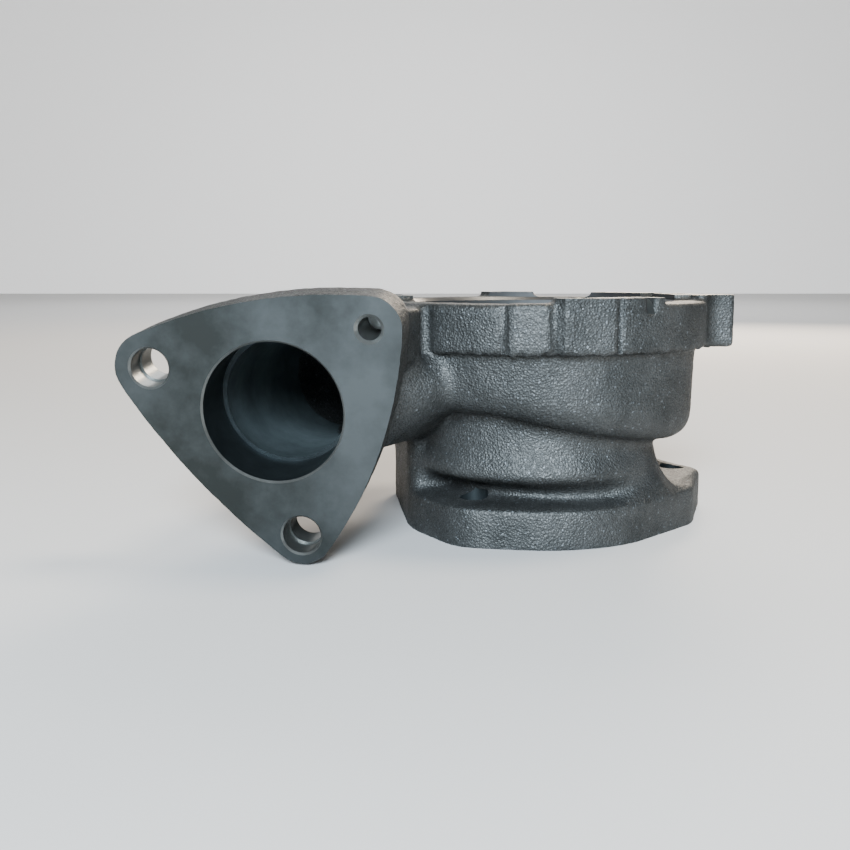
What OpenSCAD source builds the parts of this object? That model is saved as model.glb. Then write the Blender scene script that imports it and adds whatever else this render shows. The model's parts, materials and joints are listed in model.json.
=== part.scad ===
// Turbine housing of a turbocharger: one iron casting with its machined faces and bores.
// The turbine axis is Z. The outlet flange stands on Z = 0 and the centre housing sits on top.
// Seen from above, gas enters at the left, towards +Y, and runs clockwise round the wheel.

/* [Centre housing rim] */
// Diameter over the rim
rim_d = 116.2; // [110:0.2:124]
// Height of the low part of the rim above the outlet face
rim_top = 78.3; // [75:0.1:84]
// Height of the rim band
band_h = 15.3; // [12:0.1:18]
// Rounding of the rim's upper edge
rim_round = 1.6; // [0.5:0.1:2.5]
// Height of the machined pads over the low part of the rim
pad_rise = 1.9; // [0.5:0.1:3]
// Diameter of the spigot bore for the centre housing
spigot_d = 92; // [84:0.5:94]
// Depth of the spigot bore from the pads
spigot_depth = 10; // [6:0.5:12]
// Number of tapped holes for the clamp plates
clamp_holes = 4; // [2:1:6]
// Diameter of the clamp holes' bolt circle
clamp_pcd = 104; // [102:0.5:108]
// Tapping drill of the clamp holes (M8)
clamp_drill = 6.8; // [5:0.1:7.4]
// Depth of the clamp holes
clamp_depth = 14; // [8:0.5:16]

/* [Lug on the rim] */
// How far the lug reaches from the axis
lug_reach = 67.6; // [64:0.2:76]
// Width of the lug along the rim
lug_w = 15; // [10:0.5:20]
// Height of the lug
lug_h = 18; // [12:0.5:22]
// Radius of the fillets beside the lug
lug_fillet = 5; // [2:0.5:7]

/* [Inlet flange] */
// Inlet bore
inlet_d = 42; // [38:0.5:46]
// Depth of the machined inlet bore
inlet_bore_depth = 20; // [16:1:24]
// Radius on which the three holes lie
inlet_hole_r = 38.5; // [37:0.1:42]
// Turn of the three holes about the bore, in degrees
inlet_hole_turn = 10.3; // [0:0.1:20]
// Thickness of the inlet flange
inlet_t = 15.8; // [12:0.2:18]
// Corner radius at the upper right, upper left and bottom hole
inlet_corner_r = [9.6, 10.6, 9.3]; // [9:0.1:11]
// Radius of the top, lower left and right side
inlet_side_r = [155, 210, 130]; // [120:1:220]
// Centre of the inlet face: how far it lies left of the turbine axis
inlet_left = 83.6; // [82:0.1:86]
// Centre of the inlet face: how far it lies in front of the turbine axis
inlet_front = 69.2; // [67:0.1:72]
// Centre of the inlet face: its height
inlet_height = 47.3; // [46.5:0.1:48.5]
// Turn of the inlet face from the front, in degrees
inlet_yaw = 7.2; // [0:0.1:12]
// Downward tilt of the inlet face, in degrees
inlet_tilt = 7.7; // [4:0.1:8]
// Clearance drill of the two through holes, far half
stud_d = 10.5; // [9:0.1:10.8]
// Counterbore of the two through holes, near half
stud_cbore_d = 11.6; // [11:0.1:12.2]
// Depth of the counterbore of the through holes
stud_cbore_depth = 8; // [5:0.5:10]
// Diameter of the chamfer at the two through holes
stud_chamfer_d = 12.8; // [12.4:0.1:13.4]
// Tapping drill of the blind hole (M8)
tapped_drill = 6.8; // [5:0.1:7.4]
// Depth of the blind hole
tapped_depth = 18; // [12:0.5:22]
// Diameter of the chamfer at the blind hole
tapped_chamfer_d = 8.8; // [8:0.1:10]

/* [Volute] */
// Casting wall
wall = 5; // [4:0.25:6]
// Outer radius of the volute at the right and front
volute_r = 53.6; // [52:0.1:55]
// Height of the volute's underside at the right
volute_low = 31.2; // [30:0.1:33]
// How far the underside rises from the right to the left front, as the scroll gets smaller
volute_rise = 12.3; // [8:0.1:13]
// Rounding of the volute's lower edge
volute_round = 9; // [6:0.25:12]
// Draft of the volute's side from its rounding up to the rim
volute_draft = 0.8; // [0:0.1:1.5]
// Height of the scroll's middle
scroll_mid = 48; // [47:0.25:49]
// Radius of the scroll's inner side
scroll_in_r = 34.5; // [34:0.25:35]
// Radius of the scroll passage where it starts, behind the wheel
scroll_start_r = 58; // [56:0.25:59]
// Radius of the passage at its tail, beside the inlet duct
scroll_tail_r = 41; // [40:0.25:43]

/* [Wheel] */
// Inducer chamber
wheel_d = 66; // [62:0.5:68]
// Exducer bore
exducer_d = 47; // [42:0.5:48]
// Radius of the shroud's curve between them
shroud_r = 9.5; // [7:0.25:9.5]

/* [Neck and outlet] */
// Radius of the neck's collar
collar_r = 43.4; // [42:0.1:45]
// Height of the collar's widest part
collar_z = 22.6; // [22:0.1:23.6]
// Rounding of the collar
collar_round = 3; // [2:0.1:3.4]
// Radius of the waist between the collar and the volute
waist_r = 40.6; // [39:0.1:41.5]
// Height of the waist
waist_z = 28.5; // [27.8:0.1:29]
// Radius of the waist's hollow
waist_cove = 4; // [3:0.1:4.5]
// How far the neck narrows from its waist up to the rim
neck_taper = 3; // [0:0.1:4]
// Wall of the neck round the outlet bore
neck_wall = 4.9; // [4:0.1:5]
// Outlet bore
outlet_d = 50; // [49:0.5:51]
// Depth of the outlet bore
outlet_depth = 20; // [16:0.5:22]
// Thickness of the outlet flange
outlet_t = 13.4; // [11:0.2:15]
// Holes in the outlet flange
outlet_hole_d = 9.5; // [8.5:0.1:10]
// Wastegate port
gate_d = 18; // [14:0.5:20]
// Depth of the chamber at the outlet face
gate_chamber_h = 16; // [12:0.5:18]

/* [Hidden] */
$fn = 96;
lap = 0.6; // how far a cut runs past a face, and a solid into its neighbour
iron = [0.44, 0.47, 0.48];
inlet_at = [-inlet_left, -inlet_front, inlet_height];

// Heights
band_low = rim_top - band_h;
pad_top = rim_top + pad_rise;
seat_z = pad_top - spigot_depth;

// Outlet flange: each circle of its outline is [x, y, radius]
outlet_outline_circles = [[0, 0, 46], [-18, -26, 17.5], [38, 2, 19.3], [40, 46, 17]];
// The holes of the outlet flange, and the radius of the land round each
outlet_holes = [[-22.7, -26.5], [55.2, 26.7], [22, 60], [-39.5, 44]];
outlet_lands = [17.5, 10.3, 12, 11.3];

// Wastegate port: its place, the wall round it and the chamber under it
gate_at = [-31, 27];
gate_wall_r = gate_d / 2 + 4.6;
gate_chamber_r = gate_wall_r - 1.6;
gate_slot_w = gate_d - 4; // the way from the chamber to the outlet bore
gate_port_h = 24; // the port's height over the chamber, into the gas passage
gate_fillet = 13; // its wall's hollow rounding under the duct
neck_cove = 2.6; // the hollow between the neck and its collar

// The balls round which the swell between the duct and the volute is drawn: [x, y, z, radius]
swell_balls = [
    [-57.5, -38.5, scroll_mid + 1, 17.5],
    [-44, -36, scroll_mid + 4, 14],
    [-44.7, -16, scroll_mid, 16],
    [-53, 5, scroll_mid, 15.5]
];

// Raised pads and bosses on the rim: first and last angle
boss_a = [-103.3, -91.2];
boss_b = [-88.6, -71.5];
pad_c = [-70.2, -53];
pad_right = [-4, 21];
pad_back_right = [30, 58];
pad_back = [86, 107];
pad_left = [176, 204];
pad_out = 0.5; // how far the pads stand out from the band
pad_in_r = spigot_d / 2 - 2 * lap;
boss_in_r = spigot_d / 2 + 4; // the bosses' inner end, inside the ring that carries them
// The first clamp hole lies in the middle of the second boss
clamp_turn = (boss_b[0] + boss_b[1]) / 2;
// The slot in the third pad, and the grooves in the band beside the bosses
slot_at = -58.9;
slot_w = 3;
slot_depth = 5;
groove_at = [-90, -131];
groove_r = 2.4;

// Inlet flange frame: x across, y up, z out of the face
module at_inlet() {
    translate(inlet_at) rotate([90 + inlet_tilt, 0, -inlet_yaw]) children();
}
function inlet_angle(k) = inlet_hole_turn + 30 + 120 * k;
function inlet_hole(k) = inlet_hole_r * [cos(inlet_angle(k)), sin(inlet_angle(k))];
flow = [sin(inlet_yaw) * cos(inlet_tilt), cos(inlet_yaw) * cos(inlet_tilt), sin(inlet_tilt)];

// Formulas
function mix(a, b, t) = a + (b - a) * t;
function ease(t) = let (c = min(1, max(0, t))) c * c * (3 - 2 * c);
function unit(v) = v / norm(v);

// Centre of the arc of radius r that touches circles (p, rp) and (q, rq) from outside, on p-q's left
function side_centre(p, rp, q, rq, r) =
    let (d = norm(q - p), e = unit(q - p), a = r - rp, b = r - rq)
    let (s = (d * d + a * a - b * b) / (2 * d))
    p + s * e + sqrt(a * a - s * s) * [-e[1], e[0]];
function heading(v) = atan2(v[1], v[0]);
// Points of an arc from direction a to direction b, turning left
function arc(c, r, a, b, n) =
    let (sweep = (b - a) - 360 * floor((b - a) / 360))
    [for (i = [0:n]) c + r * [cos(a + sweep * i / n), sin(a + sweep * i / n)]];
// The same arc for a hollow, from direction b back to direction a
function cove(c, r, a, b, n) = let (ps = arc(c, r, a, b, n)) [for (i = [n:-1:0]) ps[i]];
function inlet_side(k) =
    let (j = (k + 1) % 3)
    side_centre(inlet_hole(k), inlet_corner_r[k], inlet_hole(j), inlet_corner_r[j], inlet_side_r[k]);
// Corner k's arc, then the side from corner k to the next one
function inlet_corner_and_side(k) =
    let (c = inlet_hole(k), m0 = inlet_side((k + 2) % 3), m1 = inlet_side(k), n = inlet_hole(k + 1))
    concat(
        arc(c, inlet_corner_r[k], heading(c - m0), heading(c - m1), 16),
        arc(m1, inlet_side_r[k], heading(c - m1), heading(n - m1), 14)
    );
// A closed outline without its doubled points
function tidy(ps) = [for (i = [0:len(ps) - 1]) if (norm(ps[i] - ps[(i + 1) % len(ps)]) > 0.01) ps[i]];

// The wheel chamber: the shroud's curve starts at shroud_z, and the nozzle lies over it. The heat
// shield's recess runs from the nozzle's floor up to the seat, and the scroll opens into it.
shroud_z = scroll_mid - 8;
nozzle_z = shroud_z + shroud_r + 0.5;
shield_d = wheel_d + 14;

// The gas path: stations along the inlet duct and then along the scroll.
// A station is [centre, outward, up, half width, height above, height below, power above, power below]
duct_steps = 16;
scroll_steps = 32;
body_steps = 14;
drum_steps = 50;
scroll_first = 100; // direction of the scroll's first station
scroll_sweep = 300; // how far the passage runs
body_sweep = 110; // how far the outer body follows it
rise_from = 100; // the turn at which the volute's underside starts to rise
rise_turn = 111; // and how far it rises along the scroll
duct_in = 36; // how far the duct runs straight back from the inlet face
duct_out = 38; // and how far it runs straight into the scroll
duct_bend = [-78, 25];
scroll_c0 = (scroll_in_r + scroll_start_r) / 2 * [cos(scroll_first), sin(scroll_first)];
duct_poles = [
    inlet_at,
    inlet_at + duct_in * flow,
    [duct_bend[0], duct_bend[1], scroll_mid + 1.5],
    [scroll_c0[0], scroll_c0[1], scroll_mid] - duct_out * [sin(scroll_first), -cos(scroll_first), 0],
    [scroll_c0[0], scroll_c0[1], scroll_mid]
];
function bezier(p, t) =
    len(p) == 1 ? p[0] : bezier([for (i = [0:len(p) - 2]) mix(p[i], p[i + 1], t)], t);
function bezier_way(p, t) = unit(bezier([for (i = [0:len(p) - 2]) p[i + 1] - p[i]], t));

// Radius of the passage's outer side at a turn of w degrees along the scroll
function passage_r(w) =
    w < rise_from ? mix(scroll_start_r, volute_r - wall, w / rise_from)
    : mix(volute_r - wall, scroll_tail_r, pow((w - rise_from) / (scroll_sweep - rise_from), 1.5));
// Height of the volute's underside there
function drum_low(w) = volute_low + volute_rise * pow(min(1, max(0, (w - rise_from) / rise_turn)), 1.7);
function passage_low(w) = drum_low(w) + wall;
function passage_high(w) = mix(band_low - 1, band_low - 6, w / scroll_sweep);
function passage_mid(w) = mix(scroll_mid, (passage_low(w) + passage_high(w)) / 2, ease(w / 150));
// The body runs wide of the passage by the wall, and sinks into the drum at the right
function body_r(w) = mix(scroll_start_r + wall, volute_r - 0.8, ease(w / 85));
function body_low(w) = mix(volute_low - 1.5, volute_low + 0.8, ease(w / 85));

function duct_station(t, body) =
    let (
        way = bezier_way(duct_poles, t), out = unit([-way[1], way[0], 0]), e = ease((t - 0.25) / 0.75),
        r0 = inlet_d / 2 - 0.8 + (body ? wall + 0.8 : 0),
        a = body ? body_r(0) - (scroll_in_r + scroll_start_r) / 2 : (scroll_start_r - scroll_in_r) / 2,
        up = body ? band_low + 7 - scroll_mid : passage_high(0) - scroll_mid,
        down = scroll_mid - (body ? body_low(0) : passage_low(0))
    )
    [bezier(duct_poles, t), out, cross(way, out), mix(r0, a, e), mix(r0, up, e), mix(r0, down, e),
        mix(2, body ? 5 : 3, e), mix(2, 3, e)];
function scroll_station(w, body) =
    let (
        th = scroll_first - w, out = [cos(th), sin(th), 0], mid = body ? scroll_mid : passage_mid(w),
        ro = body ? body_r(w) : passage_r(w), c = (scroll_in_r + passage_r(w)) / 2
    )
    [c * out + [0, 0, mid], out, [0, 0, 1], ro - c,
        (body ? band_low + 7 : passage_high(w)) - mid, mid - (body ? body_low(w) : passage_low(w)),
        body ? 5 : 3, 3];

// A ring of points round a station: a rounded box that is a circle where its powers are 2
function bend(v, n) = sign(v) * pow(abs(v), 2 / n);
function ring(s, n) = [for (i = [0:n - 1])
    let (a = 360 * (i + 0.5) / n, p = sin(a) > 0 ? s[6] : s[7], h = sin(a) > 0 ? s[4] : s[5])
    s[0] + s[1] * s[3] * bend(cos(a), p) + s[2] * h * bend(sin(a), p)];

// A closed skin over rings with n points each
module skin(rings, n) {
    m = len(rings);
    sides = [for (j = [0:m - 2], i = [0:n - 1])
        let (a = j * n + i, b = j * n + (i + 1) % n) each [[a, b + n, b], [a, a + n, b + n]]];
    polyhedron(
        points = [for (r = rings, p = r) p],
        faces = concat(
            sides,
            [[for (i = [0:n - 1]) i]],
            [[for (i = [n - 1:-1:0]) (m - 1) * n + i]]
        ),
        convexity = 8
    );
}

// The outside of the duct and of the scroll up to where the drum takes over
module volute_body() {
    n = 28;
    skin(concat(
        [for (i = [0:duct_steps]) ring(duct_station(mix(0.05, 1, i / duct_steps), true), n)],
        [for (i = [1:body_steps]) ring(scroll_station(body_sweep * i / body_steps, true), n)]
    ), n);
}

// The passage inside, from the inlet bore round the wheel
module gas_passage() {
    n = 24;
    skin(concat(
        [for (i = [0:duct_steps]) ring(duct_station(mix(0.08, 1, i / duct_steps), false), n)],
        [for (i = [1:scroll_steps]) ring(scroll_station(scroll_sweep * i / scroll_steps, false), n)]
    ), n);
}

// The neck over the outlet flange, with its collar and the waist above it
module neck() {
    neck_r = outlet_d / 2 + neck_wall;
    lip_z = collar_z - collar_round;
    rotate_extrude() polygon(concat(
        [[0, outlet_t - lap * 4], [neck_r, outlet_t - lap * 4]],
        cove([neck_r + neck_cove, lip_z - neck_cove], neck_cove, 90, 180, 5),
        arc([collar_r - collar_round, collar_z], collar_round, -90, 25, 10),
        cove([waist_r + waist_cove, waist_z], waist_cove, 184, 200, 3),
        [[waist_r - neck_taper, band_low + 1], [0, band_low + 1]]
    ));
}

// The outline of the volute under the rim at a turn of w degrees: its hollow over the waist, its
// rounded lower edge and its side
function drum_ring(w) =
    let (low = drum_low(w), th = scroll_first - w, fillet_z = low + waist_z - volute_low,
        foot = waist_r - neck_taper * (fillet_z - waist_z) / (band_low - waist_z))
    [for (p = concat(
        [[waist_r - 8, fillet_z + 0.2], [foot - 1, fillet_z + 0.2]],
        cove([foot + waist_cove, fillet_z], waist_cove, 130, 165, 4),
        arc([volute_r - volute_round, low + volute_round], volute_round, -85, 0, 10),
        [[volute_r + volute_draft, band_low + 3], [waist_r - 8, band_low + 3]]
    )) [p[0] * cos(th), p[0] * sin(th), p[1]]];

// The volute under the rim. Its underside rises towards its tail, and its two ends lie in the duct.
module drum() {
    end = 5;
    skin([for (i = [0:drum_steps]) drum_ring(mix(end, 360 - end, i / drum_steps))], len(drum_ring(0)));
}

// The band of the rim
module rim_band() {
    rotate_extrude() polygon(concat(
        [[0, band_low], [rim_d / 2, band_low]],
        arc([rim_d / 2 - rim_round, rim_top - rim_round], rim_round, 0, 90, 8),
        [[0, rim_top]]
    ));
}

// The outline of a pad: the part of a ring between two angles
module pad_outline(span, r) {
    far = 2 * r;
    mid = (span[0] + span[1]) / 2;
    intersection() {
        difference() {
            circle(r = r);
            circle(r = pad_in_r);
        }
        polygon([[0, 0], for (w = [span[0], mid, span[1]]) far * [cos(w), sin(w)]]);
    }
}

// The outline of a boss with a flat face, square to the direction of its middle
module boss_outline(span, r, inner) {
    half = r * tan((span[1] - span[0]) / 2);
    rotate([0, 0, (span[0] + span[1]) / 2]) translate([inner, -half]) square([r - inner, half * 2]);
}

// The square lug at the right with its two fillets
module lug_outline() {
    root = rim_d / 2 - 1.2;
    translate([pad_in_r, -lug_w / 2]) square([lug_reach - pad_in_r, lug_w]);
    for (side = [0, 1]) mirror([0, side]) difference() {
        translate([root - 4, lug_w / 2 - lap]) square([lug_fillet + 4, lug_fillet + lap]);
        translate([root + lug_fillet, lug_w / 2 + lug_fillet]) circle(r = lug_fillet);
    }
}

// All that stands up to the height of the machined pads
module rim_pads() {
    foot = band_low + 0.25;
    translate([0, 0, foot]) linear_extrude(pad_top - foot) {
        for (span = [pad_c, pad_right, pad_back_right, pad_back, pad_left])
            pad_outline(span, rim_d / 2 + pad_out);
        // the ring that joins the second boss to the third pad, behind the groove between them
        pad_outline([boss_b[0] - 1, pad_c[1] - 5], rim_d / 2 - rim_round);
        boss_outline(boss_b, rim_d / 2 + pad_out + 0.6, boss_in_r);
        lug_outline();
    }
    // the lug's lower end, which hangs under the band
    translate([rim_d / 2 - 2, -lug_w / 2 + 0.2, pad_top - lug_h])
        cube([lug_reach - rim_d / 2 + 1.8, lug_w - 0.4, foot - pad_top + lug_h + 1]);
}

// The first boss and the step after the third pad, which stay as low as the rim
module low_bosses() {
    translate([0, 0, band_low + 0.2]) linear_extrude(band_h)
        boss_outline(boss_a, rim_d / 2 + pad_out, boss_in_r);
    translate([0, 0, band_low + 0.3]) linear_extrude(band_h - 1)
        pad_outline([pad_c[1] - 2, pad_c[1] + 3], rim_d / 2 + pad_out - 0.2);
}

// The triangular inlet flange
module inlet_flange() {
    at_inlet() translate([0, 0, -inlet_t]) linear_extrude(inlet_t)
        polygon(tidy([for (k = [0:2]) each inlet_corner_and_side(k)]));
}

// The metal behind the blind hole, which runs back into the rim
module tapped_boss() {
    at_inlet() translate([inlet_hole(0)[0] - 1, inlet_hole(0)[1] - 4, -inlet_t - 16])
        cylinder(r = inlet_corner_r[0] - 1.5, h = 16 + lap * 3);
    translate([0, 0, band_low - 4]) linear_extrude(band_h + 2.8) hull() {
        translate([-50, -54]) circle(r = 7);
        translate([-47.3, -44]) circle(r = 7.2);
        translate([-60, -38]) circle(r = 9);
    }
}

// The swell at the left front, where the tail of the volute runs into the duct
module tail_swell() {
    hull() for (c = swell_balls) translate([c[0], c[1], c[2]]) sphere(r = c[3], $fn = 32);
}

// The outlet flange on which the housing stands
module outlet_flange() {
    linear_extrude(outlet_t) hull() {
        for (c = outlet_outline_circles) translate([c[0], c[1]]) circle(r = c[2]);
        for (i = [1:3]) translate(outlet_holes[i]) circle(r = outlet_lands[i]);
    }
}

// The web that slopes from the waist out to the right-hand hole
module outlet_web() {
    web_in = waist_r - 6;
    web_out = norm(outlet_holes[1]) + outlet_lands[1];
    function slope(r) = outlet_t + (waist_z - outlet_t - 3) * pow((web_out - r) / (web_out - waist_r), 1.6);
    intersection() {
        rotate_extrude() polygon(concat(
            [[web_in, outlet_t - lap * 3], [web_out, outlet_t - lap * 3]],
            [for (i = [0:12]) let (r = mix(web_out, waist_r, i / 12)) [r, slope(r)]],
            [[web_in, slope(waist_r)]]
        ));
        linear_extrude(waist_z) hull() {
            translate([26, 12.5]) circle(r = 27);
            translate(outlet_holes[1]) circle(r = outlet_lands[1] - 0.4);
        }
    }
}

// The wall round the wastegate port, from the outlet flange up to the duct
module gate_wall() {
    translate([0, 0, outlet_t - lap * 2]) linear_extrude(scroll_mid - 1.5 - outlet_t) hull() {
        translate([-41.6, -11]) circle(r = 3.6);
        translate([-36.5, 30]) circle(r = gate_wall_r + 0.4);
        translate([-10, 24]) circle(r = 20);
    }
    // its fillet under the duct
    translate([-36.5, 30, outlet_t + 3.6]) rotate([0, 0, 90]) rotate_extrude(angle = 180) polygon(concat(
        [[0, 0]],
        cove([gate_wall_r + 0.2 + gate_fillet, 3], gate_fillet, 118, 180, 8),
        [[0, 14.4]]
    ));
}

// What is turned out: the outlet bore, the exducer bore, the shroud's curve and the wheel chamber
module turned_inside() {
    translate([0, 0, -lap]) cylinder(d = outlet_d, h = outlet_depth + lap);
    translate([0, 0, outlet_depth - lap]) cylinder(d = exducer_d, h = shroud_z - outlet_depth + lap * 4);
    rotate_extrude() polygon(concat(
        [[0, shroud_z - 2]],
        cove([exducer_d / 2 + shroud_r, shroud_z], shroud_r, 90, 180, 12),
        [[wheel_d / 2, nozzle_z + lap], [0, nozzle_z + lap]]
    ));
    translate([0, 0, nozzle_z]) cylinder(d = shield_d, h = seat_z - nozzle_z + lap);
    translate([0, 0, seat_z]) cylinder(d = spigot_d, h = spigot_depth * 2);
}

module inlet_cuts() {
    at_inlet() {
        translate([0, 0, -inlet_bore_depth]) cylinder(d = inlet_d, h = inlet_bore_depth + lap);
        translate([0, 0, -0.7]) cylinder(d1 = inlet_d - 0.2, d2 = inlet_d + 1.8, h = 1);
        for (k = [1, 2]) translate(inlet_hole(k)) {
            translate([0, 0, -inlet_t - 40]) cylinder(d = stud_d, h = inlet_t + 40 + lap);
            translate([0, 0, -stud_cbore_depth]) cylinder(d = stud_cbore_d, h = stud_cbore_depth + lap);
            translate([0, 0, -0.8]) cylinder(d1 = stud_cbore_d - 0.2, d2 = stud_chamfer_d + 0.4, h = 1);
        }
        translate(inlet_hole(0)) {
            translate([0, 0, -tapped_depth]) cylinder(d = tapped_drill, h = tapped_depth + lap);
            translate([0, 0, -tapped_depth - tapped_drill / 4])
                cylinder(d1 = 0.4, d2 = tapped_drill - 0.2, h = tapped_drill / 4 + 0.01);
            translate([0, 0, -1]) cylinder(d1 = tapped_drill - 0.2, d2 = tapped_chamfer_d + 0.4, h = 1.2);
        }
    }
}

module rim_cuts() {
    for (k = [0:clamp_holes - 1]) rotate([0, 0, clamp_turn + 360 * k / clamp_holes])
        translate([clamp_pcd / 2, 0, pad_top - clamp_depth]) cylinder(d = clamp_drill, h = clamp_depth + 10);
    rotate([0, 0, slot_at]) translate([spigot_d / 2 + 3, -slot_w / 2, pad_top - slot_depth])
        cube([20, slot_w, slot_depth + lap]);
    for (g = groove_at) rotate([0, 0, g]) translate([rim_d / 2 + groove_r - 1, 0, band_low - 2])
        cylinder(r = groove_r, h = band_h + 10);
}

module outlet_cuts() {
    for (p = outlet_holes) translate([p[0], p[1], -lap]) cylinder(d = outlet_hole_d, h = outlet_t + lap * 4);
    // chamber for the wastegate valve, and its port up to the gas passage
    translate([gate_at[0], gate_at[1], -lap]) cylinder(r = gate_chamber_r, h = gate_chamber_h + lap);
    rotate([0, 0, heading(gate_at)]) translate([0, -gate_slot_w / 2, -lap])
        cube([norm(gate_at), gate_slot_w, gate_chamber_h - 1 + lap]);
    translate([gate_at[0], gate_at[1], gate_chamber_h - lap]) cylinder(d = gate_d, h = gate_port_h + lap);
}

module turbine_housing() {
    color(iron) difference() {
        union() {
            volute_body();
            drum();
            neck();
            rim_band();
            rim_pads();
            low_bosses();
            inlet_flange();
            tapped_boss();
            tail_swell();
            outlet_flange();
            outlet_web();
            gate_wall();
        }
        gas_passage();
        turned_inside();
        inlet_cuts();
        rim_cuts();
        outlet_cuts();
    }
}

turbine_housing();
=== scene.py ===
# %% [markdown]
# The turbine housing of a turbocharger, dressed in Blender.
# The real piece is one rough iron casting. A foundry pours it in a sand mould, and a machine shop
# then planes the flange faces, turns the bores and drills the holes. This lesson follows the same
# order: first a soft, grainy blank, then clean cuts, then one finish for each kind of surface.

# %% Load the frame
import json
import math

import bmesh
import bpy
import numpy as np
from mathutils import Euler, Matrix, Vector, noise


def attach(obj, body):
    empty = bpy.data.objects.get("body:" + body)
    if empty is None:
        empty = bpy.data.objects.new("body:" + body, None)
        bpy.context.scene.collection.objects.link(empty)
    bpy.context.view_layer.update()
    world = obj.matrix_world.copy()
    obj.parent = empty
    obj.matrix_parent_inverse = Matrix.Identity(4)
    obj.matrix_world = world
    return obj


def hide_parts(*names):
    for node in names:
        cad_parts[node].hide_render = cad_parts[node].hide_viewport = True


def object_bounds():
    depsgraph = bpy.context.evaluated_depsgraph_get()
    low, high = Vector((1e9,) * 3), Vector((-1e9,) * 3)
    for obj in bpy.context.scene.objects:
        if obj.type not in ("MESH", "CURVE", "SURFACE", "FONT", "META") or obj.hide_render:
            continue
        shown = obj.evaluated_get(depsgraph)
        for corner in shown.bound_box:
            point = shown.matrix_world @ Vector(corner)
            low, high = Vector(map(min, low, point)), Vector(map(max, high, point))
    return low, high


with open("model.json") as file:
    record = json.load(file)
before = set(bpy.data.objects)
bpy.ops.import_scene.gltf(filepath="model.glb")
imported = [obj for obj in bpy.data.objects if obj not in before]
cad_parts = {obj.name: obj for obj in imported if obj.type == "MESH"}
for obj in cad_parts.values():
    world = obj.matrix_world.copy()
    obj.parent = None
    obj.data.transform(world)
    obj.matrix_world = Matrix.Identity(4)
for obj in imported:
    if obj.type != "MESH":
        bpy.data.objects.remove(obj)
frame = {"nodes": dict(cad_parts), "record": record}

MM = 0.001
cad_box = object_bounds()
housing = frame["nodes"]["turbine_housing"]
print("housing:", len(housing.data.polygons), "triangles, box in mm:",
      [[round(v / MM, 1) for v in corner] for corner in cad_box])

# %% [markdown]
# Every machined surface of the real piece is an interface, and the record that comes with the frame
# lists them as mounts. Reading their places, axes and radii from there keeps the cuts in step with
# the solid, so only the sizes that the record doesn't hold are written here.

# %% Places of the machined surfaces
mounts = {m["name"]: m for m in frame["record"]["mounts"]}


def mount_point(name):
    return Vector(mounts[name]["pos_m"])


def mount_radius(name):
    dims = mounts[name]["dims"]
    return dims.get("r_mm", dims.get("hole_r_mm")) * MM


def inlet_frame():
    """The matrix whose Z leaves the inlet face, with X level, at the centre of the bore's mouth."""
    out = Vector(mounts["inlet_face"]["axis"]).normalized()
    level = Vector((0, 0, 1)).cross(out).normalized()
    up = out.cross(level)
    centre = mount_point("inlet_bore")
    centre += out * (mount_point("inlet_face") - centre).dot(out)
    turn = Matrix((level, up, out)).transposed().to_4x4()
    return Matrix.Translation(centre) @ turn


INLET = inlet_frame()
INLET_HOLE_RING = 38.5 * MM      # the radius on which the three holes lie
INLET_HOLE_TURNS = (40.3, 160.3, 280.3)
SPIGOT_R = mount_radius("spigot_bore")
SEAT_Z = mount_point("centre_housing_seat").z
PAD_TOP = mount_point("clamp_holes").z
RIM_TOP = PAD_TOP - 1.9 * MM
BAND_LOW = RIM_TOP - 15.3 * MM
RIM_R = 58.1 * MM
OUTLET_HOLES = [(x * MM, y * MM) for x, y in ((-22.7, -26.5), (55.2, 26.7), (22, 60), (-39.5, 44))]
CLAMP_RING = 52 * MM             # the radius on which the four clamp holes lie
CLAMP_TURNS = [-80.05 + 90 * k for k in range(4)]
print("inlet face at", [round(v / MM, 1) for v in INLET.translation],
      "seat at", round(SEAT_Z / MM, 1))

# %% [markdown]
# Three helpers make all the tools of the machine shop. A rod is a cylinder or a cone, for bores and
# plugs. A block is a box, for the milling cutters. A turned piece is a profile spun about an axis,
# for liners, drills and the shape that the lathe cuts. All come back as plain objects that the next
# steps use up.

# %% Helpers for tools
IDENTITY = Matrix.Identity(4)


def finish_mesh(bm, name, material=None):
    """Makes an object from a bmesh, with its normals facing outwards."""
    bmesh.ops.recalc_face_normals(bm, faces=bm.faces)
    mesh = bpy.data.meshes.new(name)
    bm.to_mesh(mesh)
    bm.free()
    if material:
        mesh.materials.append(material)
    obj = bpy.data.objects.new(name, mesh)
    bpy.context.scene.collection.objects.link(obj)
    return obj


def rod(name, low, high, radius, top_radius=None, place=IDENTITY, at=(0, 0), sides=96, material=None):
    """A cylinder or cone between two heights of a place's own Z."""
    bm = bmesh.new()
    middle = place @ Matrix.Translation((at[0], at[1], (low + high) / 2))
    bmesh.ops.create_cone(
        bm, cap_ends=True, cap_tris=False, segments=sides, radius1=radius,
        radius2=radius if top_radius is None else top_radius, depth=high - low, matrix=middle)
    return finish_mesh(bm, name, material)


def block(name, low, high, place=IDENTITY, material=None):
    """A box between two corners."""
    bm = bmesh.new()
    size = Vector(high) - Vector(low)
    middle = (Vector(high) + Vector(low)) / 2
    bmesh.ops.create_cube(
        bm, size=1, matrix=place @ Matrix.Translation(middle) @ Matrix.Diagonal((*size, 1)))
    return finish_mesh(bm, name, material)


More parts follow.
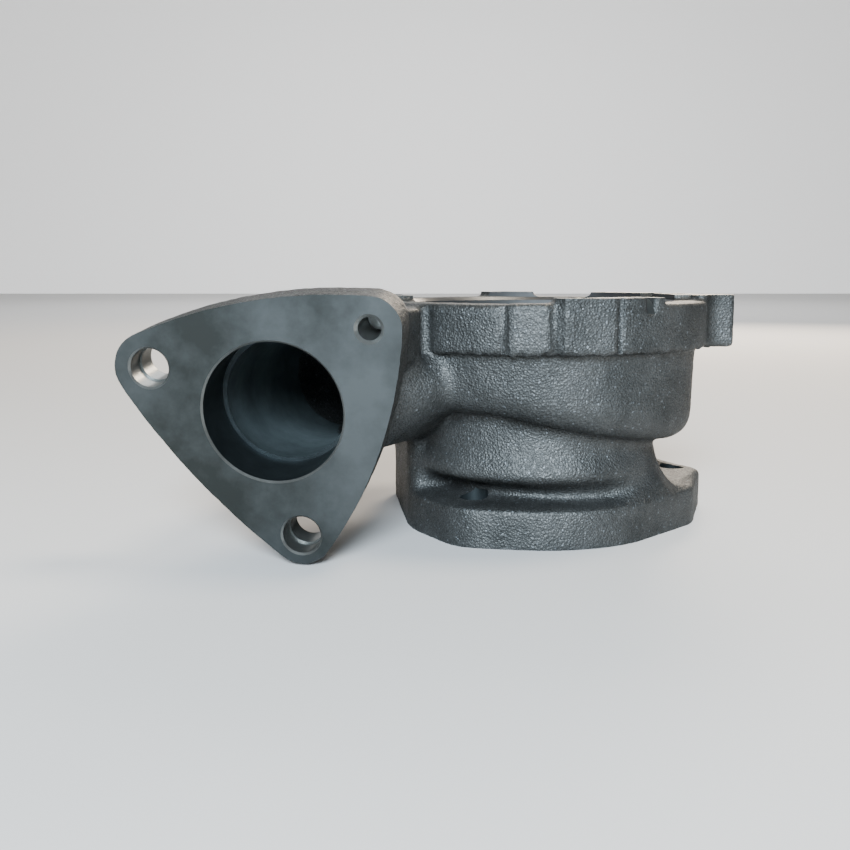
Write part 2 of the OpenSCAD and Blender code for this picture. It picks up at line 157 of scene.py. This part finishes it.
def turned(name, profile, place=IDENTITY, sides=128, material=None):
    """A closed profile of (radius, height) points, spun round Z."""
    bm = bmesh.new()
    ring = [bm.verts.new((r, 0, z)) for r, z in profile]
    edges = [bm.edges.new((ring[i], ring[(i + 1) % len(ring)])) for i in range(len(ring))]
    bmesh.ops.spin(
        bm, geom=ring + edges, cent=(0, 0, 0), axis=(0, 0, 1), angle=2 * math.pi, steps=sides,
        use_merge=True)
    bmesh.ops.remove_doubles(bm, verts=bm.verts, dist=0.001 * MM)
    bmesh.ops.dissolve_degenerate(bm, dist=0.0001 * MM, edges=bm.edges)
    bm.transform(place)
    return finish_mesh(bm, name, material)


def turn_z(degrees):
    """A turn about the wheel's axis."""
    return Matrix.Rotation(math.radians(degrees), 4, "Z")


def settle(obj):
    """Applies an object's modifiers."""
    bpy.context.view_layer.update()
    made = bpy.data.meshes.new_from_object(obj.evaluated_get(bpy.context.evaluated_depsgraph_get()))
    obj.modifiers.clear()
    old = obj.data
    obj.data = made
    if old.users == 0:
        bpy.data.meshes.remove(old)


def cut(obj, tool):
    """Cuts a tool's shape out of an object, and uses the tool up. The cut takes the tool's finish."""
    step = obj.modifiers.new("cut", "BOOLEAN")
    step.operation = "DIFFERENCE"
    step.solver = "MANIFOLD"
    step.material_mode = "TRANSFER"
    step.object = tool
    settle(obj)
    mesh = tool.data
    bpy.data.objects.remove(tool)
    bpy.data.meshes.remove(mesh)


print("helpers ready: rod, block, turned, settle and cut")

# %% [markdown]
# The finishes come before the cuts, because a cut face takes the finish of the tool that cut it,
# just as it does in the shop. The skin of sand-cast iron is a dark grey with a cool cast. It is full
# of grains under a millimetre wide, each a small facet that catches the light. So its colour varies
# only a little, apart from painted glints on a few grains, and a bump made of cells and of finer
# noise does most of the work.

# %% Finish: sand-cast iron


def new_finish(name):
    """A material with its shader, and a small function that adds a node and its inputs."""
    material = bpy.data.materials.new(name)
    material.use_nodes = True
    tree = material.node_tree
    shader = tree.nodes["Principled BSDF"]

    def node(kind, **values):
        made = tree.nodes.new(kind)
        for key, value in values.items():
            if hasattr(made, key):
                setattr(made, key, value)
            else:
                made.inputs[key.replace("_", " ")].default_value = value
        return made

    return material, tree.links.new, shader, node


def ramp(node, stops):
    """A colour ramp from (position, colour) stops."""
    made = node("ShaderNodeValToRGB")
    elements = made.color_ramp.elements
    while len(elements) < len(stops):
        elements.new(0.5)
    for element, (position, colour) in zip(elements, stops):
        element.position = position
        element.color = (*colour, 1)
    return made


def cast_iron_finish():
    material, link, shader, node = new_finish("sand_cast_iron")
    shader.inputs["Metallic"].default_value = 0.75
    shader.inputs["Specular IOR Level"].default_value = 0.25
    shader.inputs["Specular Tint"].default_value = (0.45, 0.45, 0.45, 1)
    where = node("ShaderNodeTexCoord")
    grains = node("ShaderNodeTexVoronoi", Scale=1350.0)
    glints = node("ShaderNodeTexVoronoi", Scale=1900.0)
    fine = node("ShaderNodeTexNoise", Scale=2200.0, Detail=3.0, Roughness=0.65)
    clouds = node("ShaderNodeTexNoise", Scale=55.0, Detail=5.0, Roughness=0.6)
    for texture in (grains, glints, fine, clouds):
        link(where.outputs["Object"], texture.inputs["Vector"])
    tone = ramp(node, [(0.3, (0.048, 0.051, 0.051)), (0.7, (0.098, 0.102, 0.102))])
    link(clouds.outputs["Fac"], tone.inputs["Fac"])
    speckle = ramp(node, [(0.3, (0.5, 0.5, 0.5)), (0.72, (1.4, 1.4, 1.4))])
    link(fine.outputs["Fac"], speckle.inputs["Fac"])
    colour = node("ShaderNodeMix", data_type="RGBA", blend_type="MULTIPLY")
    colour.inputs["Factor"].default_value = 1.0
    link(tone.outputs["Color"], colour.inputs["A"])
    link(speckle.outputs["Color"], colour.inputs["B"])
    # painted glints: a few grains turn lighter and bluish, partly bare facets and partly painted
    # highlight
    painted_glint_mask = ramp(node, [(0.86, (0, 0, 0)), (0.97, (0.4, 0.4, 0.4))])
    link(glints.outputs["Color"], painted_glint_mask.inputs["Fac"])
    sparkle = node("ShaderNodeMix", data_type="RGBA")
    sparkle.inputs["B"].default_value = (0.4, 0.45, 0.5, 1)
    link(painted_glint_mask.outputs["Color"], sparkle.inputs["Factor"])
    link(colour.outputs["Result"], sparkle.inputs["A"])
    link(sparkle.outputs["Result"], shader.inputs["Base Color"])
    rough = node("ShaderNodeMapRange", To_Min=0.36, To_Max=0.62)
    link(grains.outputs["Color"], rough.inputs["Value"])
    link(rough.outputs["Result"], shader.inputs["Roughness"])
    deep = node("ShaderNodeBump", Strength=0.7, Distance=0.00032)
    link(grains.outputs["Distance"], deep.inputs["Height"])
    shallow = node("ShaderNodeBump", Strength=0.7, Distance=0.0002)
    link(fine.outputs["Fac"], shallow.inputs["Height"])
    link(deep.outputs["Normal"], shallow.inputs["Normal"])
    link(shallow.outputs["Normal"], shader.inputs["Normal"])
    return material


CAST_IRON = cast_iron_finish()
print("finish:", CAST_IRON.name)

# %% [markdown]
# A planed or milled face is smoother, a satin grey with faint marks of the cutter and soft stains. The
# marks are a noise that is stretched one way, which Object coordinates keep at one real size all over.
# A turned bore has its marks as fine rings round the axis, and a drilled hole is the brightest. The
# inlet's bore and the outlet holes are the darkest, as painted shade inside them, and the cast passage
# behind the bore is a rougher grey, painted cooler and lighter than the skin as painted light.

# %% Finish: machined faces and bores


def planed_finish(name, dark, light, roughness, stretch, turn=(0, 0, 0)):
    """A satin machined face. stretch is the scale of its marks along the three axes."""
    material, link, shader, node = new_finish(name)
    shader.inputs["Metallic"].default_value = 0.85
    shader.inputs["Anisotropic"].default_value = 0.3
    shader.inputs["Specular Tint"].default_value = (0.6, 0.6, 0.6, 1)
    where = node("ShaderNodeTexCoord")
    lay = node("ShaderNodeMapping", Rotation=turn, Scale=stretch)
    link(where.outputs["Object"], lay.inputs["Vector"])
    marks = node("ShaderNodeTexNoise", Scale=1.0, Detail=4.0, Roughness=0.7)
    link(lay.outputs["Vector"], marks.inputs["Vector"])
    stains = node("ShaderNodeTexNoise", Scale=26.0, Detail=6.0, Roughness=0.62)
    link(where.outputs["Object"], stains.inputs["Vector"])
    tone = ramp(node, [(0.36, dark), (0.66, light)])
    link(stains.outputs["Fac"], tone.inputs["Fac"])
    link(tone.outputs["Color"], shader.inputs["Base Color"])
    rough = node("ShaderNodeMapRange", To_Min=roughness - 0.06, To_Max=roughness + 0.1)
    link(marks.outputs["Fac"], rough.inputs["Value"])
    link(rough.outputs["Result"], shader.inputs["Roughness"])
    bump = node("ShaderNodeBump", Strength=0.12, Distance=0.0001)
    link(marks.outputs["Fac"], bump.inputs["Height"])
    link(bump.outputs["Normal"], shader.inputs["Normal"])
    return material


PLANED = planed_finish("planed_face", (0.03, 0.034, 0.033), (0.085, 0.096, 0.1), 0.42,
                       (350, 350, 3500), turn=(0, math.radians(20), 0))
TURNED = planed_finish("turned_bore", (0.075, 0.078, 0.08), (0.14, 0.145, 0.15), 0.34, (60, 60, 4500))
DRILLED = planed_finish("drilled_hole", (0.12, 0.125, 0.12), (0.22, 0.23, 0.225), 0.3, (900, 900, 900))
# painted shade: the darkest, coolest machined grey, for the shade inside the inlet bore and outlet holes
BORE_PAINTED_SHADE = planed_finish("bored_inlet_painted_shade", (0.03, 0.038, 0.041), (0.065, 0.08, 0.086), 0.42, (700, 700, 90))
# painted light: the passage's cast skin is a lighter, cooler grey than the outer skin, for the light
# inside it
PASSAGE_PAINTED_LIGHT = planed_finish("gas_passage", (0.06, 0.078, 0.083), (0.14, 0.175, 0.185), 0.6, (500, 500, 120))
print("finishes:", PLANED.name, TURNED.name, DRILLED.name, BORE_PAINTED_SHADE.name, PASSAGE_PAINTED_LIGHT.name)

# %% [markdown]
# The blank is the casting before machining. It starts as a merged copy of the solid. A foundry
# leaves stock on each face that will be machined and casts the bores too small, and so does this
# cell: faces are extruded outwards, bores get a liner and drilled holes are plugged. The rounding
# that comes next then falls in the stock, and the cuts leave crisp edges.

# %% Casting blank
STOCK = 1.6 * MM


def raise_face(bm, point, normal):
    """Adds stock to the flat faces that lie in one plane."""
    faces = [f for f in bm.faces if f.normal.dot(normal) > 0.9995
             and abs((f.calc_center_median() - point).dot(normal)) < 0.03 * MM]
    made = bmesh.ops.extrude_face_region(bm, geom=faces)
    moved = [g for g in made["geom"] if isinstance(g, bmesh.types.BMVert)]
    bmesh.ops.translate(bm, verts=moved, vec=normal * STOCK)
    return len(faces)


blank = bmesh.new()
blank.from_mesh(housing.data)
bmesh.ops.remove_doubles(blank, verts=blank.verts, dist=0.001 * MM)
UP, DOWN = Vector((0, 0, 1)), Vector((0, 0, -1))
raised = [raise_face(blank, mount_point("inlet_face"), INLET.to_3x3() @ UP),
          raise_face(blank, mount_point("clamp_holes"), UP),
          raise_face(blank, mount_point("outlet_face"), DOWN)]
print("stock raised on", raised, "faces")

# %% [markdown]
# The liners and plugs are rings and rods that overlap the solid. They aren't joined to it here,
# because the remesh that follows melts all overlapping closed shapes into one skin. The same trick
# adds a little iron for the foot of the web, where the real casting has a wider blend.

# %% Liners and plugs
outlet_r = mount_radius("outlet_bore")
exducer_r = mount_radius("exducer_bore")


def inlet_hole(k):
    turn = math.radians(INLET_HOLE_TURNS[k])
    return INLET_HOLE_RING * math.cos(turn), INLET_HOLE_RING * math.sin(turn)


def liner(name, inner, outer, low, high, place=IDENTITY):
    """A ring that makes a bore too small."""
    return turned(name, [(inner, low), (outer, low), (outer, high), (inner, high)], place)


fill = [
    liner("core", 0, outlet_r + 1 * MM, -STOCK, 34 * MM),
    liner("inlet_liner", 19.6 * MM, 22.5 * MM, -20.4 * MM, STOCK, INLET),
    liner("spigot_liner", 36 * MM, SPIGOT_R + 1 * MM, SEAT_Z - 4 * MM, RIM_TOP - 0.4 * MM),
]
# as (lowest height, radius) in mm: the blind hole's plug goes deeper and is narrower
INLET_PLUGS = ((-17.8, 5), (-15.8, 6.6), (-15.8, 6.6))
fill += [rod("inlet_plug", low * MM, STOCK, radius * MM, place=INLET, at=inlet_hole(k))
         for k, (low, radius) in enumerate(INLET_PLUGS)]
fill += [rod("outlet_plug", -STOCK, 13.2 * MM, 5.4 * MM, at=hole) for hole in OUTLET_HOLES]
fill += [rod("clamp_plug", PAD_TOP - 15 * MM, PAD_TOP + STOCK, 4 * MM, place=turn_z(turn),
             at=(CLAMP_RING, 0)) for turn in CLAMP_TURNS]
# cones as (x, y, radius below, radius above, top) in mm: the wall of the hollow under the collar
# and the foot of the web that closes the hollow towards the right
WEB_LOW = 12 * MM
WEB_CONES = ((6, 4, 36.5, 38.5, 18.5), (27.5, -24.8, 11, 4, 19), (34.4, -16, 13, 5, 22),
             (38, -4, 14, 4, 23.5))
for x, y, below, above, top in WEB_CONES:
    fill.append(rod("web_cone", WEB_LOW, top * MM, below * MM, above * MM, at=(x * MM, y * MM)))
# the solid's narrow groove between the bosses is filled too, and the groove cut later is rounder
fill.append(block("groove_plug", (54 * MM, -2.3 * MM, BAND_LOW + 0.1 * MM),
                  (57.9 * MM, 2.3 * MM, RIM_TOP - 1 * MM), turn_z(-90)))
for piece in fill:
    blank.from_mesh(piece.data)
    bpy.data.meshes.remove(piece.data)
casting = finish_mesh(blank, "turbine_housing_casting")
print("blank has", len(fill), "liners and plugs")

# %% [markdown]
# Sand leaves no sharp edge. A voxel remesh turns the blank into one even skin, and the skin is then
# relaxed. Each point moves towards the middle of its neighbours: by a full step where that fills a
# hollow, and by a small one where it would wear an edge away. That gives wide fillets and tight
# edges, which is what a pattern maker's fillets look like. The rim is relaxed less than the rest,
# because its bosses and grooves are crisp on the real piece.

# %% Remesh and fillets
VOXEL = 0.85 * MM
step = casting.modifiers.new("skin", "REMESH")
step.mode = "VOXEL"
step.voxel_size = VOXEL
settle(casting)
print("skin has", len(casting.data.vertices), "points")


def read_points(mesh):
    points = np.empty(len(mesh.vertices) * 3, np.float32)
    mesh.vertices.foreach_get("co", points)
    return points.reshape(-1, 3).astype(np.float64)


def smoothstep(low, high, value):
    t = np.clip((value - low) / (high - low), 0, 1)
    return t * t * (3 - 2 * t)


def relax(mesh, rounds, fill_step, wear_step):
    """Moves each point towards its neighbours' middle, with its own step for hollows and edges."""
    points = read_points(mesh)
    count = len(points)
    edges = np.empty(len(mesh.edges) * 2, np.int32)
    mesh.edges.foreach_get("vertices", edges)
    a, b = edges.reshape(-1, 2).T
    ends, others = np.concatenate([a, b]), np.concatenate([b, a])
    degree = np.bincount(ends, minlength=count)
    corners = np.empty(len(mesh.polygons) * 4, np.int32)
    mesh.polygons.foreach_get("vertices", corners)
    quads = corners.reshape(-1, 4)
    for _ in range(rounds):
        middle = np.stack([np.bincount(ends, points[others, k], count) / degree for k in range(3)], 1)
        across = np.cross(points[quads[:, 2]] - points[quads[:, 0]],
                          points[quads[:, 3]] - points[quads[:, 1]])
        normal = np.stack([sum(np.bincount(quads[:, c], across[:, k], count) for c in range(4))
                           for k in range(3)], 1)
        move = middle - points
        fills = (move * normal).sum(1) > 0
        points += move * np.where(fills, fill_step, wear_step)[:, None]
    mesh.vertices.foreach_set("co", points.astype(np.float32).ravel())
    mesh.update()


start = read_points(casting.data)
reach = np.hypot(start[:, 0], start[:, 1])
on_rim = smoothstep(BAND_LOW - 3 * MM, BAND_LOW - 0.5 * MM, start[:, 2]) * (reach < 70 * MM)
relax(casting.data, 4, 0.6, 0.45)
relax(casting.data, 26, 0.9 - 0.8 * on_rim, 0.07 - 0.05 * on_rim)
# the wide hollow where the duct meets the volute, and the lip and hollow under the collar
SWELL_AT = (-38, -47, 50)        # mm
from_swell = np.linalg.norm(start - np.array(SWELL_AT) * MM, axis=1)
near_swell = (1 - smoothstep(11 * MM, 21 * MM, from_swell)) * (1 - on_rim)
relax(casting.data, 70, near_swell, 0.4 * near_swell)
near_lip = (smoothstep(12.5 * MM, 15 * MM, start[:, 2]) * (1 - smoothstep(25 * MM, 29 * MM, start[:, 2]))
            * smoothstep(30 * MM, 36 * MM, reach) * (1 - smoothstep(46 * MM, 51 * MM, reach))
            * (1 - smoothstep(-8 * MM, 4 * MM, start[:, 1])))
relax(casting.data, 80, 0.75 * near_lip, 0.5 * near_lip)
print("relaxed; points on the rim:", int((on_rim > 0.5).sum()),
      "beside the swell:", int((near_swell > 0.5).sum()))

# %% [markdown]
# The web that stiffens the outlet flange on the right ends in a level land round a bolt hole, so that
# a nut can seat. A founder would shape the pattern with a file. Here the points above a limit are
# lowered to it. The limit is level at the hole, curves up to the left in front of it, and rises
# gently behind it. A few more rounds of relaxing then soften the change.

# %% Land of the right-hand hole
LAND_Z = 14.3 * MM
LAND_X = 49 * MM
LAND_BACK = 31 * MM
points = read_points(casting.data)
x, y, z = points.T
beyond = np.maximum(0, LAND_X - x)
in_front = np.minimum(1.1 * beyond, beyond ** 2 / (6.5 * MM))
behind = 0.45 * np.maximum(0, 56 * MM - x) + beyond
limit = LAND_Z + np.where(y < LAND_BACK, in_front, behind)
on_web = (x > 41.5 * MM) & (y > -12 * MM) & (y < 40 * MM) & (z < 27 * MM)
lowered = on_web & (z > limit)
points[lowered, 2] = limit[lowered]
casting.data.vertices.foreach_set("co", points.astype(np.float32).ravel())
casting.data.update()
beside = (smoothstep(39 * MM, 42 * MM, x) * smoothstep(-14 * MM, -10 * MM, y)
          * (1 - smoothstep(26 * MM, 29 * MM, z)) * smoothstep(12 * MM, 13.5 * MM, z))
relax(casting.data, 8, 0.8 * beside, 0.4 * beside)
print("points lowered to the land:", int(lowered.sum()))

# %% [markdown]
# The skin isn't smooth either. The sand leaves it slightly wavy and grained, and that has to be in
# the mesh, so that edges and outlines show it too. Each point moves along its normal by a noise in
# three sizes. The lower edge of the rim's band, where the two halves of the mould met, is ragged.

# %% Cast grain in the mesh
WAVES = ((0.10 * MM, 18 * MM), (0.08 * MM, 6 * MM), (0.10 * MM, 2.1 * MM))
RAGGED = 0.8 * MM


def grain(mesh):
    points = read_points(mesh)
    normals = np.empty(len(points) * 3, np.float32)
    mesh.vertex_normals.foreach_get("vector", normals)
    normals = normals.reshape(-1, 3)
    places = [Vector(p) for p in points.tolist()]
    height = np.zeros(len(points))
    for size, length in WAVES:
        height += size * np.array([noise.noise(p / length) for p in places])
    points += normals * height[:, None]
    reach = np.hypot(points[:, 0], points[:, 1])
    at_edge = (1 - smoothstep(0.4 * MM, 2.2 * MM, np.abs(points[:, 2] - BAND_LOW))) * (
        smoothstep(RIM_R - 3 * MM, RIM_R - 1.2 * MM, reach)) * (reach < RIM_R + 2 * MM)
    edge = np.flatnonzero(at_edge)
    teeth = np.array([noise.noise(places[i] / (2.6 * MM)) + 0.6 * noise.noise(places[i] / (1.3 * MM))
                      for i in edge])
    points[edge, 2] += RAGGED * teeth * at_edge[edge]
    points[:, 0] = np.minimum(points[:, 0], cad_box[1][0] - 0.05 * MM)
    mesh.vertices.foreach_set("co", points.astype(np.float32).ravel())
    mesh.update()
    return len(edge)


print("ragged edge points:", grain(casting.data))

# %% [markdown]
# A mesh as fine as a voxel everywhere is far too heavy. Decimate takes points away where the skin is
# nearly flat and keeps them where it curves, so the grain and the edges stay.

# %% Lighten the blank
TARGET = 168_000
casting.data.materials.clear()
casting.data.materials.append(CAST_IRON)
step = casting.modifiers.new("lighten", "DECIMATE")
step.ratio = TARGET / (2 * len(casting.data.polygons))
settle(casting)
casting.data.polygons.foreach_set("use_smooth", [True] * len(casting.data.polygons))
print("blank:", len(casting.data.polygons), "faces")

# %% [markdown]
# Now the machine shop. The lathe's cut is one profile through the whole middle: outlet bore, exducer
# bore, the curve of the shroud, the wheel chamber and the spigot. One cut of the whole profile leaves
# every step and curve truly round about the same axis, as one clamping in the lathe does.

# %% Turned inside
SHROUD_CURVE = 9.5 * MM          # the radius of the shroud's curve, and the height where it starts
SHROUD_Z = 40 * MM
SHIELD_R = 40 * MM               # the heat shield's recess
OUTLET_TOP = 20 * MM             # where the outlet bore narrows to the exducer bore


def quarter(centre, radius, first, last, steps=14):
    """Points of an arc, for a profile."""
    turns = [math.radians(first + (last - first) * i / steps) for i in range(steps + 1)]
    return [(centre[0] + radius * math.cos(t), centre[1] + radius * math.sin(t)) for t in turns]


BREAK = 0.5 * MM
CLEAN = 0.35 * MM                # taken off where nothing fits, so that no patch of skin is left
profile = [(0, -3 * MM), (outlet_r + BREAK, -3 * MM), (outlet_r + BREAK, 0), (outlet_r, BREAK),
           (outlet_r, OUTLET_TOP), (exducer_r, OUTLET_TOP)]
profile += quarter((exducer_r + SHROUD_CURVE, SHROUD_Z), SHROUD_CURVE - CLEAN, 180, 90)
profile += [(SHIELD_R + CLEAN, SHROUD_Z + SHROUD_CURVE - CLEAN), (SHIELD_R + CLEAN, SEAT_Z),
            (SPIGOT_R, SEAT_Z), (SPIGOT_R, RIM_TOP - 1.2 * MM), (SPIGOT_R + 1.2 * MM, RIM_TOP),
            (SPIGOT_R + 1.2 * MM, PAD_TOP + 6 * MM), (0, PAD_TOP + 6 * MM)]
cut(casting, turned("lathe", profile, sides=160, material=TURNED))
print("after the lathe:", len(casting.data.polygons), "faces")

# %% [markdown]
# Three sets of faces are planed: the inlet face for its gasket, the pads on the rim for the clamps, and
# the outlet face. A block or disc that is cut away does what the milling cutter does, and leaves one
# flat face with crisp edges, whatever the grain was.

# %% Planed faces
MILL_DEEP = 6 * MM
cut(casting, block("inlet_mill", (-70 * MM, -70 * MM, 0), (70 * MM, 70 * MM, MILL_DEEP), INLET, PLANED))
cut(casting, rod("pad_mill", PAD_TOP, PAD_TOP + MILL_DEEP, 69 * MM, material=PLANED))
cut(casting, block("outlet_mill", (-120 * MM, -120 * MM, -MILL_DEEP), (120 * MM, 120 * MM, 0),
                   material=PLANED))
print("after the mill:", len(casting.data.polygons), "faces")

# %% [markdown]
# Each hole is a stepped profile that is spun and cut away: a straight bore, in some a wider mouth, and
# a chamfer. A plain cylinder would be quicker, but the bright ring of a chamfer is what makes a hole
# look drilled.

# %% Bores and holes
THROUGH = ((5.25, -40), (5.25, -8), (5.8, -8), (5.8, -0.6), (6.5, 0.1), (6.5, 4))
BLIND = ((3.4, -18), (3.4, -1), (4.5, 0.1), (4.5, 4))
OUTLET = ((5.2, -2), (5.2, 0), (4.75, 0.5), (4.75, 15.8))
CLAMP = ((3.4, -14), (3.4, -0.6), (4.1, 0.1), (4.1, 4))


def drill(name, steps, place, at, face_z=0, material=DRILLED):
    """Drills one hole. steps are (radius, height over the face) in mm, from the bottom up."""
    profile = [(r * MM, face_z + z * MM) for r, z in steps]
    profile = [(0, profile[0][1])] + profile + [(0, profile[-1][1])]
    cut(casting, turned(name, profile, place @ Matrix.Translation((*at, 0)), 64, material))


# the inlet bore's wall takes the bore finish, whose darkness is painted shade
cut(casting, rod("inlet_boring", -20 * MM, 3 * MM, 21 * MM, place=INLET, sides=128, material=BORE_PAINTED_SHADE))
cut(casting, rod("bore_chamfer", -0.7 * MM, 0.3 * MM, 20.9 * MM, 21.9 * MM, place=INLET, sides=128,
                 material=DRILLED))
for k in range(3):
    drill("inlet_drill", THROUGH if k else BLIND, INLET, inlet_hole(k))
# the outlet holes take the bore finish too, painted shade inside them
for hole in OUTLET_HOLES:
    drill("outlet_drill", OUTLET, IDENTITY, hole, material=BORE_PAINTED_SHADE)
for turn in CLAMP_TURNS:
    drill("clamp_drill", CLAMP, turn_z(turn), (CLAMP_RING, 0), PAD_TOP)
print("after the drills:", len(casting.data.polygons), "faces")

# %% [markdown]
# Shallow upright grooves part the bosses on the front of the rim. They come from the pattern, so they
# keep the finish of cast iron. Each is the scoop of a thin rod whose middle lies outside the band.

# %% Grooves beside the bosses
# as (turn in degrees, radius, how far the centre lies outside the band) in mm
GROOVES = ((-105.6, 1.7, 0.95), (-90.3, 1.5, 0.8), (-70.1, 1.4, 1.1))
for turn, radius, out in GROOVES:
    cut(casting, rod("groove", BAND_LOW + 0.5 * MM, PAD_TOP + 4 * MM, radius * MM, place=turn_z(turn),
                     at=(RIM_R + out * MM, 0), sides=24, material=CAST_IRON))

# %% [markdown]
# The wastegate lets gas past the wheel. Its chamber opens in the outlet face, a port leads up to the
# scroll, and a milled way joins the chamber to the outlet bore. The narrow slot in the rim, beside a
# pad, is milled with the same kind of block.

# %% Wastegate way and slot
GATE = Vector((-31, 27, 0)) * MM
GATE_WAY = Matrix.Rotation(math.atan2(GATE.y, GATE.x), 4, "Z")
SLOT_TURN = -58.9
cut(casting, rod("gate_chamber", -3 * MM, 16 * MM, 12 * MM, at=GATE.xy, material=TURNED))
cut(casting, rod("gate_drill", 15 * MM, 40 * MM, 9 * MM, at=GATE.xy, material=TURNED))
cut(casting, block("gate_mill", (0, -7 * MM, -3 * MM), (GATE.length, 7 * MM, 15 * MM), GATE_WAY, TURNED))
cut(casting, block("slot_mill", (49 * MM, -1.5 * MM, PAD_TOP - 5 * MM),
                   (66 * MM, 1.5 * MM, PAD_TOP + 4 * MM), turn_z(SLOT_TURN), DRILLED))
print("after the slot:", len(casting.data.polygons), "faces")

# %% [markdown]
# The gas passage behind the inlet's bore keeps its cast skin, but a core shapes it, and a core's skin
# is smoother than the mould's. Its grey is also lighter and cooler than the outer skin's: painted
# light, standing in for the light that reaches into the passage. Its faces are found by their place:
# the skin faces that lie in a cylinder behind the bore and look towards its axis.

# %% Finish and painted light of the inlet passage
PASSAGE_DEEP = 80 * MM
PASSAGE_WIDE = 26 * MM
into_inlet = INLET.inverted()
# the passage's faces take painted light: a lighter, cooler grey than the outer skin
casting.data.materials.append(PASSAGE_PAINTED_LIGHT)
passage_painted_light_index = len(casting.data.materials) - 1
skin_index = casting.data.materials.find(CAST_IRON.name)
painted = 0
for face in casting.data.polygons:
    if face.material_index == skin_index:
        inner = into_inlet @ face.center
        facing = into_inlet.to_3x3() @ face.normal
        inwards = facing.x * inner.x + facing.y * inner.y < 0
        inside = -PASSAGE_DEEP < inner.z < -1 * MM and math.hypot(inner.x, inner.y) < PASSAGE_WIDE
        if inside and inwards:
            face.material_index = passage_painted_light_index
            painted += 1
print("faces of the passage:", painted)

# %% [markdown]
# Where a cut meets the skin, or two cuts meet, the edge is sharp. Everywhere else the surface is
# shaded smooth, so that the triangles of the grained skin don't show.

# %% Sharp edges
bm = bmesh.new()
bm.from_mesh(casting.data)
bmesh.ops.remove_doubles(bm, verts=bm.verts, dist=0.002 * MM)
rough_skins = {skin_index, passage_painted_light_index}
sharp = 0
for face in bm.faces:
    face.smooth = True
for edge in bm.edges:
    if len(edge.link_faces) != 2:
        continue
    first, second = edge.link_faces
    both_skin = {first.material_index, second.material_index} <= rough_skins
    edge.smooth = both_skin or edge.calc_face_angle(0) < math.radians(24)
    sharp += not edge.smooth
open_edges = sum(not e.is_manifold for e in bm.edges)
bm.to_mesh(casting.data)
bm.free()
print("sharp edges:", sharp, "open edges:", open_edges, "triangles:", len(casting.data.loop_triangles))

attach(casting, "root")
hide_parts("turbine_housing")

# %% [markdown]
# The stage is a plain pale floor with a pale wall far behind it, in soft studio light. A real studio
# keeps a dark part dark by lighting it from one side only. So the sky is dim, a broad cool panel
# stands in front, over the camera, and weak warm ones above and behind brighten the tops. The wall
# glows a little, and one more panel washes the floor before it, so that both stay pale.

# %% Floor and wall
def staged(name, size, place, colour, glow=0.0):
    """A flat piece of the stage. A glow makes it a light of its own, as a lit wall is."""
    bm = bmesh.new()
    bmesh.ops.create_grid(bm, x_segments=1, y_segments=1, size=0.5,
                          matrix=place @ Matrix.Diagonal((*size, 1, 1)))
    material, _, shader, _ = new_finish(name)
    shader.inputs["Base Color"].default_value = (*colour, 1)
    shader.inputs["Roughness"].default_value = 0.9
    shader.inputs["Emission Color"].default_value = (1, 1, 1, 1)
    shader.inputs["Emission Strength"].default_value = glow
    mesh = bpy.data.meshes.new(name)
    bm.to_mesh(mesh)
    bm.free()
    mesh.materials.append(material)
    piece = bpy.data.objects.new(name, mesh)
    bpy.context.scene.collection.objects.link(piece)


FLOOR_SIDE = 8.0                 # metres
WALL_HIGH = 3.5
upright = (Matrix.Translation((0, FLOOR_SIDE / 2, WALL_HIGH / 2))
           @ Matrix.Rotation(math.radians(90), 4, "X"))
staged("pale_floor", (FLOOR_SIDE, FLOOR_SIDE), IDENTITY, (0.62, 0.62, 0.62))
staged("pale_wall", (FLOOR_SIDE, WALL_HIGH), upright, (0.9, 0.9, 0.9), glow=0.62)
print("stage: floor", FLOOR_SIDE, "m wide, wall", FLOOR_SIDE / 2, "m behind")

# %% Light
world = bpy.data.worlds.new("studio")
bpy.context.scene.world = world
world.use_nodes = True
sky = world.node_tree.nodes["Background"]
sky.inputs["Color"].default_value = (1.0, 0.91, 0.8, 1)
sky.inputs["Strength"].default_value = 0.17

LOOK_AT = Vector((-20, 0, 42)) * MM


def panel(name, place, size, power, colour, look_at=LOOK_AT):
    """A square area light that looks at the housing, or at another point."""
    data = bpy.data.lights.new(name, "AREA")
    data.size = size
    data.energy = power
    data.color = colour
    light = bpy.data.objects.new(name, data)
    light.location = place
    light.rotation_euler = (look_at - Vector(place)).to_track_quat("-Z", "Y").to_euler()
    bpy.context.scene.collection.objects.link(light)


panel("cool_front", (-0.13, -1.2, 0.58), 0.4, 54.0, (0.78, 0.9, 1.0))
panel("warm_top", (0.35, 0.0, 0.95), 0.3, 6.0, (1.0, 0.87, 0.7))
panel("warm_back", (0.4, 1.3, 0.64), 0.4, 20.0, (1.0, 0.84, 0.66))
panel("wall_wash", (0.0, 2.2, 1.5), 1.2, 36.0, (1.0, 1.0, 1.0), look_at=Vector((0, 2.2, 0)))

# %% [markdown]
# The camera has the place, the tilt and the lens that were fitted to the photo, so that a render can
# be laid over it: lens, sensor and place in millimetres, and the tilt in degrees from straight down.

# %% Camera
LENS, SENSOR = 46.17, 36
CAMERA_AT = (-39.079, -384.037, 88.194)
CAMERA_TILT = 81.973
camera_data = bpy.data.cameras.new("photo_camera")
camera_data.sensor_width = SENSOR
camera_data.lens = LENS
camera_data.clip_start = 0.01
camera = bpy.data.objects.new("photo_camera", camera_data)
camera.location = Vector(CAMERA_AT) * MM
camera.rotation_euler = Euler((math.radians(CAMERA_TILT), 0, 0))
bpy.context.scene.collection.objects.link(camera)
bpy.context.scene.camera = camera
print("camera at", [round(v / MM, 1) for v in camera.location], "mm")
